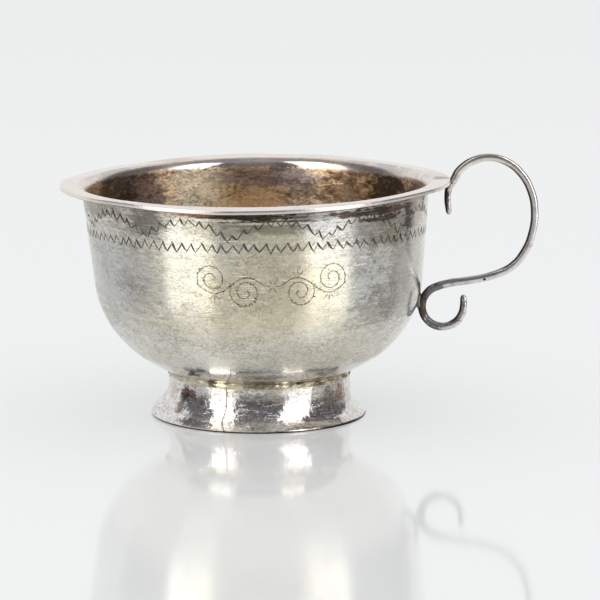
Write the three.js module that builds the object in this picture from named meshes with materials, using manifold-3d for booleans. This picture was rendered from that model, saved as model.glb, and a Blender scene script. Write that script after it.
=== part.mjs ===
// Footed dram cup with one scroll handle, in millimetres, +Z up.
// The table is at Z = 0, the foot stands round the Z axis and the handle points to +X.

import * as THREE from 'three';
import { mergeVertices } from 'three/addons/utils/BufferGeometryUtils.js';
import Module from 'manifold-3d';

// Raised bowl
const cupHeight = 36.2; // table to the crest of the mouth
const bowlBase = 3.93; // table to the bowl's lowest point
const mouthRadius = 26.6; // outer face at the top of the wall
const wallFlare = THREE.MathUtils.degToRad(5.4); // wall out of upright
const bellyRadius = 15.8; // outer bend between wall and bottom
const bottomSlope = THREE.MathUtils.degToRad(32.6); // where belly and bottom meet
const sheet = 0.6; // thickness of the raised silver

// Everted lip
const lipWidth = 3.4; // wall's top to the lip's edge
const lipBend = 0.5; // bend radius under the lip
const lipDroop = THREE.MathUtils.degToRad(0.5); // fall of the lip towards its edge

// The bowl was set a little out of true on its foot
const bowlTilt = THREE.MathUtils.degToRad(0.73); // leans away from the handle
const bowlDrift = 0.0206; // further sideways drift for each unit of height
const bowlOffset = 0.3; // centre of the joint, towards the handle

// Spool foot, rolled from a strip
const neckRadius = 14.05; // outer face of the straight neck
const neckHeight = 2.1; // straight neck under the bowl
const footSpread = 2.51; // foot's edge beyond the neck
const footSheet = 0.8; // thickness of the strip
const footLand = 0.35; // upright edge at the table
const seamAngle = THREE.MathUtils.degToRad(-110); // front left of the foot
const seamWidth = 0.3; // solder in the upright seam

// Solder
const solderGap = 0.25; // clearance round every soldered piece
const jointWidth = 1.1; // fillet under the bowl
const jointDrop = 1.2; // fillet down the neck
const rimLump = 0.22; // solder round the wire at the lip
const wallLump = 0.6; // solder beside the wire at the wall
const wallLumpHeight = 5.4; // end to end along the wall

// Handle of round wire
const wireRadius = 0.64;
const hookLength = 5.3; // free end below the lip
const hookSet = 0.45; // free end inside the lip's edge
const lipSeat = 0.45; // wire's centre line beyond the lip's edge
const loopRise = 3.6; // top of the loop above the lip
const loopReach = 13.05; // widest point beyond the lip's edge
const loopHalfWidth = 7.1;
const loopDrop = 5.2; // widest point below the lip
const scrollHeight = 16.25; // centre of the lower scroll, on an upright cup
const scrollRadius = 3.2;
const armRise = 1.65; // lowest point of the loop above the scroll's top
const scrollStart = THREE.MathUtils.degToRad(115);
const scrollEnd = THREE.MathUtils.degToRad(360);
const scrollTail = 1.75; // straight end of the scroll

// Fineness of the curved faces
const roundSteps = 64;
const wireSides = 10;
const wireSteps = 78;

const wasm = await Module();
wasm.setup();

function toSolid(geometry) {
  const bare = geometry.clone();
  bare.deleteAttribute('normal');
  bare.deleteAttribute('uv');
  const merged = mergeVertices(bare, 1e-5);
  const corners = merged.index.array;
  const kept = [];
  for (let i = 0; i < corners.length; i += 3) {
    const [a, b, c] = corners.slice(i, i + 3);
    if (a !== b && b !== c && c !== a) kept.push(a, b, c);
  }
  return new wasm.Manifold(new wasm.Mesh({
    numProp: 3,
    vertProperties: new Float32Array(merged.attributes.position.array),
    triVerts: new Uint32Array(kept),
  }));
}

function toGeometry(solid) {
  const mesh = solid.getMesh();
  const geometry = new THREE.BufferGeometry();
  geometry.setAttribute('position', new THREE.BufferAttribute(mesh.vertProperties, 3));
  geometry.setIndex(new THREE.BufferAttribute(mesh.triVerts, 1));
  geometry.computeVertexNormals();
  return geometry;
}

// Turns a section of [radius, height] points round the Z axis.
function turned(section) {
  const points = section.map(([radius, height]) => new THREE.Vector2(radius, height));
  const geometry = new THREE.LatheGeometry(points, roundSteps);
  geometry.rotateX(Math.PI / 2);
  return geometry;
}

function ramp(from, to, steps) {
  return Array.from({ length: steps + 1 }, (_, i) => from + (to - from) * i / steps);
}

// The bowl's outer face runs up from the axis: a shallow bottom, the belly, the wall,
// the bend under the lip and the lip. Tangents are measured from the horizontal.
const wallSlope = Math.PI / 2 - wallFlare;
const wallTop = cupHeight - sheet - lipBend + lipBend * Math.cos(wallSlope);
const sinSpan = Math.sin(wallSlope) - Math.sin(bottomSlope);
const cosSpan = Math.cos(bottomSlope) - Math.cos(wallSlope);
const bottomRatio = Math.tan(bottomSlope / 2);
const wallHeight = (wallTop - bowlBase - bellyRadius * cosSpan
  - bottomRatio * (mouthRadius - bellyRadius * sinSpan)) / (1 - bottomRatio * Math.tan(wallFlare));
const bellyTopRadius = mouthRadius - wallHeight * Math.tan(wallFlare);
const bottomEdgeRadius = bellyTopRadius - bellyRadius * sinSpan;
const bottomRadius = bottomEdgeRadius / Math.sin(bottomSlope);
const bellyCentre = [
  bottomEdgeRadius - bellyRadius * Math.sin(bottomSlope),
  bowlBase + bottomRadius * (1 - Math.cos(bottomSlope)) + bellyRadius * Math.cos(bottomSlope),
];
const lipRadius = mouthRadius + lipWidth;
const bendCentre = [mouthRadius + lipBend * Math.sin(wallSlope), cupHeight - sheet - lipBend];

// Line of the bowl at a depth inside its outer face, so a negative depth lies outside it.
function bowlLine(depth, reach) {
  const line = [];
  for (const slope of ramp(0, bottomSlope, 6)) {
    const radius = bottomRadius - depth;
    line.push([radius * Math.sin(slope), bowlBase + bottomRadius - radius * Math.cos(slope)]);
  }
  for (const slope of ramp(bottomSlope, wallSlope, 8).slice(1)) {
    const radius = bellyRadius - depth;
    line.push([bellyCentre[0] + radius * Math.sin(slope), bellyCentre[1] - radius * Math.cos(slope)]);
  }
  for (const slope of ramp(wallSlope, -lipDroop, 6)) {
    const radius = lipBend + depth;
    line.push([bendCentre[0] - radius * Math.sin(slope), bendCentre[1] + radius * Math.cos(slope)]);
  }
  const [radius, height] = line.at(-1);
  line.push([reach, height - (reach - radius) * Math.tan(lipDroop)]);
  return line;
}

// The sheet's closed section, grown on every side.
function bowlSection(grow) {
  const under = bowlLine(-grow, lipRadius + grow - sheet / 4);
  const over = bowlLine(sheet + grow, lipRadius + grow - sheet / 4);
  const edge = (under.at(-1)[1] + over.at(-1)[1]) / 2;
  const nose = sheet / 4 + grow / 2;
  return [...under, [lipRadius + grow, edge - nose], [lipRadius + grow, edge + nose], ...over.reverse()];
}

// The bowl with its hollow filled, grown on the outside.
function filledSection(grow) {
  const under = bowlLine(-grow, lipRadius);
  return [...under, [lipRadius, cupHeight + sheet], [0, cupHeight + sheet]];
}

function heightUnderBowl(radius) {
  return bowlBase + bottomRadius - Math.sqrt(bottomRadius ** 2 - radius ** 2);
}

const jointHeight = heightUnderBowl(neckRadius);
const lean = new THREE.Matrix4()
  .makeTranslation(bowlOffset, 0, jointHeight)
  .multiply(new THREE.Matrix4().makeRotationY(-bowlTilt))
  .multiply(new THREE.Matrix4().makeShear(0, 0, 0, 0, -bowlDrift, 0))
  .multiply(new THREE.Matrix4().makeTranslation(0, 0, -jointHeight));

function leaned(geometry) {
  return geometry.applyMatrix4(lean);
}

// Spool foot: a trumpet flare, a straight neck and a top edge trimmed to the bowl.
const footRadius = neckRadius + footSpread;
const flareHeight = jointHeight - neckHeight;
const flareDrop = flareHeight - footLand;
const flareRadius = (footSpread ** 2 + flareDrop ** 2) / (2 * footSpread);
const flareAngle = Math.asin(flareDrop / flareRadius);
const flareCentre = [neckRadius + flareRadius, flareHeight];
const footTop = jointHeight + footSheet;

function footSection() {
  const outer = ramp(flareAngle, 0, 5).map((angle) => [
    flareCentre[0] - flareRadius * Math.cos(angle),
    flareCentre[1] - flareRadius * Math.sin(angle),
  ]);
  const innerRadius = flareRadius + footSheet;
  const innerAngle = Math.asin(Math.min(1, flareHeight / innerRadius));
  const inner = ramp(0, innerAngle, 5).map((angle) => [
    flareCentre[0] - innerRadius * Math.cos(angle),
    flareCentre[1] - innerRadius * Math.sin(angle),
  ]);
  const section = [[footRadius, 0], ...outer, [neckRadius, footTop], [neckRadius - footSheet, footTop], ...inner];
  return [...section, section[0]];
}

function jointSection() {
  const inner = neckRadius + solderGap;
  const low = jointHeight - Math.min(jointDrop, neckHeight);
  const outer = inner + jointWidth;
  const fillet = ramp(0, Math.PI / 2, 3).map((angle) => [
    outer - (jointWidth - sheet / 4) * Math.cos(angle),
    low + (jointDrop + sheet) * Math.sin(angle),
  ]);
  const section = [[inner, low], ...fillet, [outer, footTop + sheet], [inner, footTop + sheet]];
  return [...section, section[0]];
}

// Upright slab through one side of the foot at the seam.
function seamSlab(width) {
  const slab = new THREE.BoxGeometry(2 * footRadius, width, 3 * footTop);
  slab.translate(slab.parameters.width / 2, 0, 0);
  slab.rotateZ(seamAngle);
  return toSolid(slab);
}

// Distance from the axis at which a disc of a radius just touches the outside of the bowl.
function besideBowl(height, radius) {
  if (height > wallTop - wallHeight) {
    const face = mouthRadius - (wallTop - height) * Math.tan(wallFlare);
    return face + radius / Math.cos(wallFlare);
  }
  return bellyCentre[0] + Math.sqrt((bellyRadius + radius) ** 2 - (bellyCentre[1] - height) ** 2);
}

// Handle path: hook under the lip, loop, lower arm and scroll, all in the XZ plane.
const lipMiddle = cupHeight - sheet / 2 - (lipRadius - bendCentre[0]) * Math.tan(lipDroop);
const lipEdge = new THREE.Vector3(lipRadius, 0, lipMiddle).applyMatrix4(lean);
const scrollSpacing = solderGap + wireRadius + scrollRadius;
const scrollCentre = new THREE.Vector3(besideBowl(scrollHeight, scrollSpacing), 0, scrollHeight).applyMatrix4(lean);
const loopCentre = [lipEdge.x + loopReach - loopHalfWidth, lipEdge.z - loopDrop];
const loopUp = loopRise + loopDrop;
const loopDown = loopCentre[1] - scrollCentre.z - scrollRadius - armRise;

function handlePath() {
  const points = [
    [lipEdge.x - hookSet / 2, lipEdge.z - hookLength],
    [lipEdge.x - hookSet, lipEdge.z - hookLength / 2],
    [lipEdge.x - hookSet * 0.4, lipEdge.z - hookLength / 5],
    [lipEdge.x + lipSeat, lipEdge.z],
  ];
  for (const angle of ramp(130, -80, 10)) {
    const turn = THREE.MathUtils.degToRad(angle);
    const halfHeight = angle > 0 ? loopUp : loopDown;
    points.push([
      loopCentre[0] + loopHalfWidth * Math.cos(turn),
      loopCentre[1] + halfHeight * Math.sin(turn),
    ]);
  }
  for (const turn of ramp(scrollStart, scrollEnd, 9)) {
    points.push([
      scrollCentre.x + scrollRadius * Math.cos(turn),
      scrollCentre.z + scrollRadius * Math.sin(turn),
    ]);
  }
  points.push([scrollCentre.x + scrollRadius, scrollCentre.z + scrollTail]);
  return new THREE.CatmullRomCurve3(points.map(([x, z]) => new THREE.Vector3(x, 0, z)), false, 'centripetal');
}

const path = handlePath();

function wire(radius) {
  const ring = ramp(0, 2 * Math.PI, wireSides).slice(1).map((turn) => new THREE.Vector2(
    radius * Math.cos(turn),
    radius * Math.sin(turn),
  ));
  return new THREE.ExtrudeGeometry(new THREE.Shape(ring), {
    steps: wireSteps,
    bevelEnabled: false,
    extrudePath: path,
  });
}

const wireSpace = toSolid(wire(wireRadius + solderGap));
const bowl = toSolid(leaned(turned(bowlSection(0)))).subtract(wireSpace);
const grownSheet = toSolid(leaned(turned(bowlSection(solderGap))));
const grownBowl = toSolid(leaned(turned(filledSection(solderGap))));

// A lump of solder fills the corners between the wire and the bowl.
function lump(radius, height, place, bowlSpace) {
  const ball = new THREE.SphereGeometry(radius, 16, 10);
  ball.rotateX(Math.PI / 2);
  ball.scale(1, 1, height / (2 * radius));
  ball.translate(...place);
  return toSolid(ball).subtract(wireSpace).subtract(bowlSpace);
}

const spool = toSolid(turned(footSection())).subtract(grownBowl);
const seamSlot = seamSlab(seamWidth + 2 * solderGap);
const joint = toSolid(turned(jointSection())).subtract(grownBowl);
const rimSpread = wireRadius + solderGap + rimLump;
const wallSpread = wireRadius + solderGap + wallLump;
const belly = new THREE.Vector3(bellyCentre[0], 0, bellyCentre[1]).applyMatrix4(lean);
const wallTouch = scrollCentre.clone().lerp(belly, scrollSpacing / (scrollSpacing + bellyRadius));

const cup = new THREE.Group();

function add(name, geometry, colour, roughness) {
  const material = new THREE.MeshStandardMaterial({ color: colour, roughness, metalness: 0.95 });
  const mesh = new THREE.Mesh(geometry, material);
  mesh.name = name;
  cup.add(mesh);
}

add('bowl', toGeometry(bowl), '#b8b1a2', 0.32);
add('foot_strip', toGeometry(spool.subtract(seamSlot)), '#c6c1b8', 0.22);
add('foot_seam_solder', toGeometry(spool.intersect(seamSlab(seamWidth))), '#8a6a48', 0.55);
add('foot_joint_solder', toGeometry(joint), '#b5ab8f', 0.5);
add('handle_wire', wire(wireRadius), '#aaa59d', 0.28);
add('rim_solder', toGeometry(lump(rimSpread, 2 * rimSpread, lipEdge, grownSheet)), '#8f887c', 0.45);
add('wall_solder', toGeometry(lump(wallSpread, wallLumpHeight, wallTouch, grownBowl)), '#6f675d', 0.5);

// The origin is at the middle of the cup's box, on the table.
const middle = new THREE.Box3().setFromObject(cup).getCenter(new THREE.Vector3());
cup.position.set(-middle.x, -middle.y, 0);

export default cup;
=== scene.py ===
from math import asin, atan2, copysign, cos, degrees, exp, hypot, pi, radians, sin, sqrt, tan
import random

import bmesh
import bpy
from mathutils import Matrix, Vector, noise
from mathutils.bvhtree import BVHTree


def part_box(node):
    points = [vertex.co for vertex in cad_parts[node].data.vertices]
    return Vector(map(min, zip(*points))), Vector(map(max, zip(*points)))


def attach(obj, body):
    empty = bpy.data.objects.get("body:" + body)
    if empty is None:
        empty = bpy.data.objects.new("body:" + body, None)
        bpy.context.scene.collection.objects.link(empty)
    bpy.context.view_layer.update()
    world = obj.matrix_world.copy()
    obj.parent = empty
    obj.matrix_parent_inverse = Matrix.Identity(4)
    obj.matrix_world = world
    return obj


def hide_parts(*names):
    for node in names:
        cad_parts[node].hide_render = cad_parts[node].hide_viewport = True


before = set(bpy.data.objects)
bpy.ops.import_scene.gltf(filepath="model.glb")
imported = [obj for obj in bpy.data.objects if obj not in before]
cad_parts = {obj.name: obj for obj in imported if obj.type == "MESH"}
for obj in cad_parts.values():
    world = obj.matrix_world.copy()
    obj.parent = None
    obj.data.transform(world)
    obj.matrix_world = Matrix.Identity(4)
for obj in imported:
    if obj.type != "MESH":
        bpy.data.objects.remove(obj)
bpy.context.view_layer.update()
noise.seed_set(5)  # noise_vector starts from the clock otherwise
scene = bpy.context.scene
footLow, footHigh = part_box("foot_strip")
axisX = (footLow.x + footHigh.x) * 500  # the foot stands round this upright line
print("frame loaded, foot axis at", round(axisX, 3))


# Shaping helpers, all in millimetres

def arc(bm, tip, centre, angle, steps):  # carries a line on round a centre in the XZ plane
    made = bmesh.ops.spin(bm, geom=[tip], cent=centre, axis=(0, -1, 0), angle=radians(angle),
                          steps=steps, use_merge=False)
    return next(part for part in made["geom_last"] if isinstance(part, bmesh.types.BMVert))


def run(bm, tip, away, steps=1):  # carries a line straight on
    for _ in range(steps):
        tip = bmesh.ops.extrude_vert_indiv(bm, verts=[tip])["verts"][0]
        tip.co += Vector(away) / steps
    return tip


def weld(bm):
    bmesh.ops.remove_doubles(bm, verts=bm.verts[:], dist=1e-4)


def spinRound(bm, steps, angle=360):
    bmesh.ops.spin(bm, geom=bm.verts[:] + bm.edges[:], cent=(0, 0, 0), axis=(0, 0, 1),
                   angle=radians(angle), steps=steps, use_merge=angle == 360)
    weld(bm)


def turnRound(bm, angle):
    turn = Matrix.Rotation(radians(angle), 3, "Z")
    bmesh.ops.rotate(bm, cent=(0, 0, 0), matrix=turn, verts=bm.verts[:])


def shift(bm, away):
    bmesh.ops.translate(bm, vec=away, verts=bm.verts[:])


def outward(bm):
    bmesh.ops.recalc_face_normals(bm, faces=bm.faces[:])


def unsettle(verts, amount, size, seed):  # soft dents and swells, as from a hammer
    for vert in verts:
        vert.co += noise.noise_vector(vert.co / size + Vector((seed, -seed, 2 * seed))) * amount


def smoothStep(low, high, value):
    share = min(max((value - low) / (high - low), 0), 1)
    return share * share * (3 - 2 * share)


def toMesh(bm, name):
    mesh = bpy.data.meshes.new(name)
    bm.to_mesh(mesh)
    bm.free()
    return mesh


def applied(shape, helper):  # the mesh of a shape that a helper cuts or bevels
    for part in (helper, shape):
        scene.collection.objects.link(part)
    bpy.context.view_layer.update()
    made = bpy.data.meshes.new_from_object(shape.evaluated_get(bpy.context.evaluated_depsgraph_get()))
    for part in (helper, shape):
        bpy.data.objects.remove(part)
    return made


sharpAngle = 40  # degrees


def placePiece(name, form, materials, node):  # the form is a mesh, or one still in the making
    mesh = form if isinstance(form, bpy.types.Mesh) else toMesh(form, name)
    for material in materials:
        mesh.materials.append(material)
    mesh.transform(Matrix.Scale(0.001, 4))
    mesh.shade_smooth()
    mesh.set_sharp_from_angle(angle=radians(sharpAngle))
    piece = bpy.data.objects.new(name, mesh)
    scene.collection.objects.link(piece)
    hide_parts(node)
    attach(piece, "root")
    print(name, "has", len(mesh.polygons), "faces")


# Materials

def addNode(tree, kind, inputs=None, **settings):
    node = tree.nodes.new("ShaderNode" + kind)
    for key, value in settings.items():
        setattr(node, key, value)
    for key, value in (inputs or {}).items():
        if isinstance(value, bpy.types.NodeSocket):
            tree.links.new(value, node.inputs[key])
        else:
            node.inputs[key].default_value = value
    return node


# Detail and roughness of each cloudy pattern
clouds = {
    "drift": (4.0, 0.55), "mottle": (9.0, 0.72), "streak": (6.0, 0.7), "cloud": (9.0, 0.7),
    "grit": (4.0, 0.65), "speck": (5.0, 0.72), "scratch": (2.0, 0.5), "hairline": (5.0, 0.7),
    "dent": (2.0, 0.5), "rag": (10.0, 0.78),
}


def patches(tree, place, kind, scale=1.0):  # cloudy pattern, 0 to 1
    detail, roughness = clouds[kind]
    made = addNode(tree, "TexNoise", {"Vector": place, "Scale": scale, "Detail": detail,
                                      "Roughness": roughness})
    return made.outputs["Fac"]


def stretched(tree, place, factors, turn=(0, 0, 0)):
    made = addNode(tree, "Mapping", {"Vector": place, "Scale": factors, "Rotation": turn})
    return made.outputs["Vector"]


def between(tree, value, low, high, toLow=0.0, toHigh=1.0):
    made = addNode(tree, "MapRange", {
        "Value": value, "From Min": low, "From Max": high, "To Min": toLow, "To Max": toHigh,
    }, interpolation_type="SMOOTHSTEP")
    return made.outputs["Result"]


def work(tree, operation, first, second):
    made = addNode(tree, "Math", {0: first, 1: second}, operation=operation, use_clamp=True)
    return made.outputs[0]


def multiplyAdd(tree, value, factor, extra):
    made = addNode(tree, "Math", {0: value, 1: factor, 2: extra}, operation="MULTIPLY_ADD")
    return made.outputs[0]


def blendValues(tree, kept, goal, value):  # the goal where kept is 0, the value where it is 1
    apart = addNode(tree, "Math", {0: value, 1: goal}, operation="SUBTRACT").outputs[0]
    return multiplyAdd(tree, apart, kept, goal)


def blendColours(tree, share, first, second):
    made = addNode(tree, "Mix", {"Factor": share}, data_type="RGBA")
    for key, value in (("A", first), ("B", second)):
        socket = next(s for s in made.inputs if s.name == key and s.type == "RGBA")
        if isinstance(value, bpy.types.NodeSocket):
            tree.links.new(value, socket)
        else:
            socket.default_value = (*value, 1)
    return next(s for s in made.outputs if s.type == "RGBA")


def distanceFrom(tree, place, centre, reach):  # 1 on the skin of an egg with these reaches, in mm
    size = [1000 / part for part in reach]
    offset = [-middle / part for middle, part in zip(centre, reach)]
    near = addNode(tree, "Mapping", {"Vector": place, "Scale": size, "Location": offset})
    away = addNode(tree, "VectorMath", {0: near.outputs["Vector"]}, operation="LENGTH")
    return away.outputs["Value"]


rag = {"shifts": ((0, 0, 0), (9, 4, 2), (-7, 3, 8)), "bite": -3.2, "edges": (-0.65, -1.0)}


def stainedAndShaded(tree, place, colour, tarnish, spots, tear):  # torn-edged stains at given places, in mm; some pieces also give painted shade, glints and reflections here
    rags = []
    for shift in rag["shifts"]:
        slid = addNode(tree, "Mapping", {"Vector": place, "Scale": tear, "Location": shift})
        rags.append(patches(tree, slid.outputs["Vector"], "rag"))
    for number, (centre, reach, depth, shade) in enumerate(spots):
        away = distanceFrom(tree, place, centre, reach)
        ragged = multiplyAdd(tree, rags[number % len(rags)], rag["bite"], away)
        share = between(tree, ragged, *rag["edges"], 0, depth)
        colour = blendColours(tree, share, colour, shade)
        tarnish = work(tree, "MAXIMUM", tarnish, share)
    return colour, tarnish


# Where each pattern starts to show, and where it shows in full
edges = {
    "drift": (0.38, 0.62), "mottle": (0.48, 0.66), "streak": (0.46, 0.72), "dirt": (0.40, 0.62),
    "grit": (0.42, 0.68), "glint": (0.46, 0.30), "scratch": (0.66, 0.72), "gloss": (0.35, 0.65),
    "facingBowl": (-0.05, -0.5), "rubbed": (0.7, 1.1), "drawn": (0.6, 1.2),
}
lying = {"mottle": (1, 1, 1.6), "cloud": (1, 1, 1.5)}  # patterns that are wider than high
reliefs = {"dent": 0.0002, "hairline": 0.00004, "pit": -0.00005}  # heights in metres
buffAndShadeRelief, cleanGrit = 0.15, 0.25  # shares that are left in buffed bands and painted contact-shadow bands, and on clean metal
veryMiddle = (3, 3, 1e4)  # of the bowl's inside, in mm, with no end upward


def wornSilver(name, look):
    material = bpy.data.materials.new(name)
    material.use_nodes = True
    tree = material.node_tree
    tree.nodes.clear()
    place = addNode(tree, "TexCoord").outputs["Object"]
    heights = addNode(tree, "SeparateXYZ", {"Vector": place}).outputs

    # Clean metal drifts between a cool and a warm tone, with finer mottling and drawn streaks
    drift = between(tree, patches(tree, place, "drift", look["driftScale"]), *edges["drift"])
    colour = blendColours(tree, drift, look["cool"], look["warm"])
    mottle = patches(tree, stretched(tree, place, lying["mottle"]), "mottle", look["mottleScale"])
    grain = patches(tree, stretched(tree, place, look["streak"]), "streak")
    for pattern, kind in ((mottle, "mottle"), (grain, "streak")):
        dulled = between(tree, pattern, *edges[kind], 0, look[kind + "Depth"])
        colour = blendColours(tree, dulled, colour, look["dull"])

    # Tarnish gathers in clouds; stains, and some painted shade, glints and reflections, lie at the places
    # that each piece names
    wide = patches(tree, stretched(tree, place, lying["cloud"]), "cloud", look["cloudScale"])
    cloud = between(tree, wide, *look["cloudEdges"])
    tarnish = work(tree, "MULTIPLY", cloud, look["cloudDepth"])
    colour = blendColours(tree, tarnish, colour, look["tarnish"])
    colour, tarnish = stainedAndShaded(tree, place, colour, tarnish, look["stainsAndShade"], look["tear"])

    # Bands by height: bright where hands or the buff have kept it so, and a painted contact shadow at the
    # standing edge of the foot and seam
    buffAndShade = 0.0
    for low, high in look["buffAndShade"]:
        jitter = multiplyAdd(tree, mottle, look["buffAndShadeTear"], heights["Z"])
        buffAndShade = work(tree, "MAXIMUM", buffAndShade, between(tree, jitter, low, high))

    # Grit, pits, and long scratches in a few directions
    grit = patches(tree, stretched(tree, place, look["grit"]), "grit")
    dirty = between(tree, wide, *edges["dirt"], cleanGrit)
    gritty = work(tree, "MULTIPLY", between(tree, grit, *edges["grit"], 0, look["gritDepth"]), dirty)
    colour = blendColours(tree, gritty, colour, look["speck"])
    glint = between(tree, grit, *edges["glint"], 0, look["glint"])
    colour = blendColours(tree, glint, colour, look["bright"])
    speck = patches(tree, stretched(tree, place, look["speckScale"]), "speck")
    speck = between(tree, speck, *look["speckEdges"])
    specked = work(tree, "MULTIPLY", speck, look["speckDepth"])
    colour = blendColours(tree, specked, colour, look["speck"])
    scratches = 0.0
    for turn in look["scratchTurns"]:
        slid = stretched(tree, place, look["scratch"], (0, radians(turn), 0))
        thin = between(tree, patches(tree, slid, "scratch"), *edges["scratch"])
        scratches = work(tree, "MAXIMUM", scratches, thin)
    scratched = work(tree, "MULTIPLY", scratches, look["scratchDepth"])
    colour = blendColours(tree, scratched, colour, look["bright"])
    if look["buffAndShade"]:
        # the band's tone: buffed bright on the bowl, a painted contact shadow on the foot and seam
        bandShare = work(tree, "MULTIPLY", buffAndShade, look["buffAndShadeDepth"])
        colour = blendColours(tree, bandShare, colour, look["buffAndShadeTone"])
    if look["paintedBowlShade"]:  # painted shade: the side turned to the bowl is darkened and dulled, where the bowl shades it and is mirrored in it
        normal = addNode(tree, "NewGeometry").outputs["Normal"]
        turned = addNode(tree, "SeparateXYZ", {"Vector": normal}).outputs
        share = between(tree, turned["X"], *edges["facingBowl"], 0, look["paintedBowlShade"])
        colour = blendColours(tree, share, colour, look["paintedBowlShadeTone"])
        tarnish = work(tree, "MAXIMUM", tarnish, share)

    # Gloss: rubbed high spots, duller where it is tarnished
    clean = between(tree, mottle, *edges["gloss"], *look["gloss"])
    rough = addNode(tree, "Math", {0: tarnish, 1: look["tarnishRough"], 2: clean},
                    operation="MULTIPLY_ADD", use_clamp=True).outputs[0]
    if look["buffAndShade"]:
        rough = blendValues(tree, work(tree, "SUBTRACT", 1.0, buffAndShade), look["buffAndShadeGloss"], rough)
    for centre, reach, gloss in look["rubbed"]:
        far = between(tree, distanceFrom(tree, place, centre, reach), *edges["rubbed"])
        rough = blendValues(tree, far, gloss, rough)

    # Relief: soft dents, hairlines, and pits that are pressed in
    hairlines = patches(tree, stretched(tree, place, look["hairline"]), "hairline")
    dents = patches(tree, place, "dent", look["dentScale"])
    pits = work(tree, "MAXIMUM", speck, scratches)
    relief = None
    for height, kind in ((dents, "dent"), (hairlines, "hairline"), (pits, "pit")):
        strength, distance = look[kind + "Strength"], reliefs[kind]
        if look["buffAndShade"]:
            strength = between(tree, buffAndShade, 0, 1, strength, strength * buffAndShadeRelief)
        inputs = {"Height": height, "Strength": strength, "Distance": abs(distance)}
        if relief:
            inputs["Normal"] = relief.outputs["Normal"]
        relief = addNode(tree, "Bump", inputs, invert=distance < 0)
    shader = addNode(tree, "BsdfPrincipled", {
        "Base Color": colour, "Roughness": rough, "Metallic": look["metal"],
        "Normal": relief.outputs["Normal"], "Anisotropic Rotation": 0.25,
    })
    if look["drawnOut"]:  # lines that run round draw the highlights out, but not at the very middle
        fromAxis = distanceFrom(tree, place, (axisX, 0, 0), veryMiddle)
        drawnOut = between(tree, fromAxis, *edges["drawn"], 0, look["drawnOut"])
        tree.links.new(drawnOut, shader.inputs["Anisotropic"])
        drawn = addNode(tree, "Tangent", direction_type="RADIAL", axis="Z")
        tree.links.new(drawn.outputs["Tangent"], shader.inputs["Tangent"])
    addNode(tree, "OutputMaterial", {"Surface": shader.outputs["BSDF"]})
    return material


def onWall(azimuth, height, radius):  # a place on the bowl or the foot, in mm
    turn = radians(azimuth)
    return (axisX + radius * sin(turn), -radius * cos(turn), height)


def placed(rows):  # stains and painted marks that start with an azimuth, a height and a radius
    return [(onWall(*row[:3]), *row[3:]) for row in rows]


plainLook = {
    "cool": (0.56, 0.56, 0.52), "warm": (0.60, 0.56, 0.45), "dull": (0.36, 0.33, 0.27),
    "driftScale": 70, "mottleScale": 700, "mottleDepth": 0.5,
    "streak": (110, 110, 3000), "streakDepth": 0.5,
    "cloudScale": 230, "cloudEdges": (0.54, 0.74), "cloudDepth": 0.4, "stainsAndShade": [],
    "tarnish": (0.16, 0.11, 0.06), "tarnishRough": 0.2,
    "tear": (620, 620, 900), "grit": (2300, 2300, 3800), "gritDepth": 0.35, "glint": 0.15,
    "speckScale": (1500, 1500, 2300), "speckEdges": (0.64, 0.70), "speckDepth": 0.7,
    "speck": (0.10, 0.08, 0.05), "bright": (0.86, 0.84, 0.80),
    "scratchTurns": (4, -9, 58), "scratch": (160, 160, 5200), "scratchDepth": 0.35,
    "gloss": (0.26, 0.40), "hairline": (150, 150, 5200), "hairlineStrength": 0.35,
    "dentScale": 420, "dentStrength": 0.12, "pitStrength": 0.3, "metal": 1.0, "drawnOut": 0.0,
    "rubbed": [], "buffAndShade": [], "buffAndShadeTear": 0.003, "buffAndShadeTone": (0.80, 0.78, 0.74),
    "buffAndShadeGloss": 0.12, "buffAndShadeDepth": 0.8, "paintedBowlShade": 0, "paintedBowlShadeTone": (0.05, 0.043, 0.035),
}

# painted contact shadow: a near-black band where the foot and seam stand on the table
paintedContactShadow = {"buffAndShadeTone": (0.03, 0.026, 0.02), "buffAndShadeDepth": 1.0, "buffAndShadeTear": 0.0001}
lumpyLook = {**plainLook, "streak": (900, 900, 900), "cloudScale": 700, "cloudDepth": 0.8,
             "dentScale": 1400, "dentStrength": 0.5}

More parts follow.
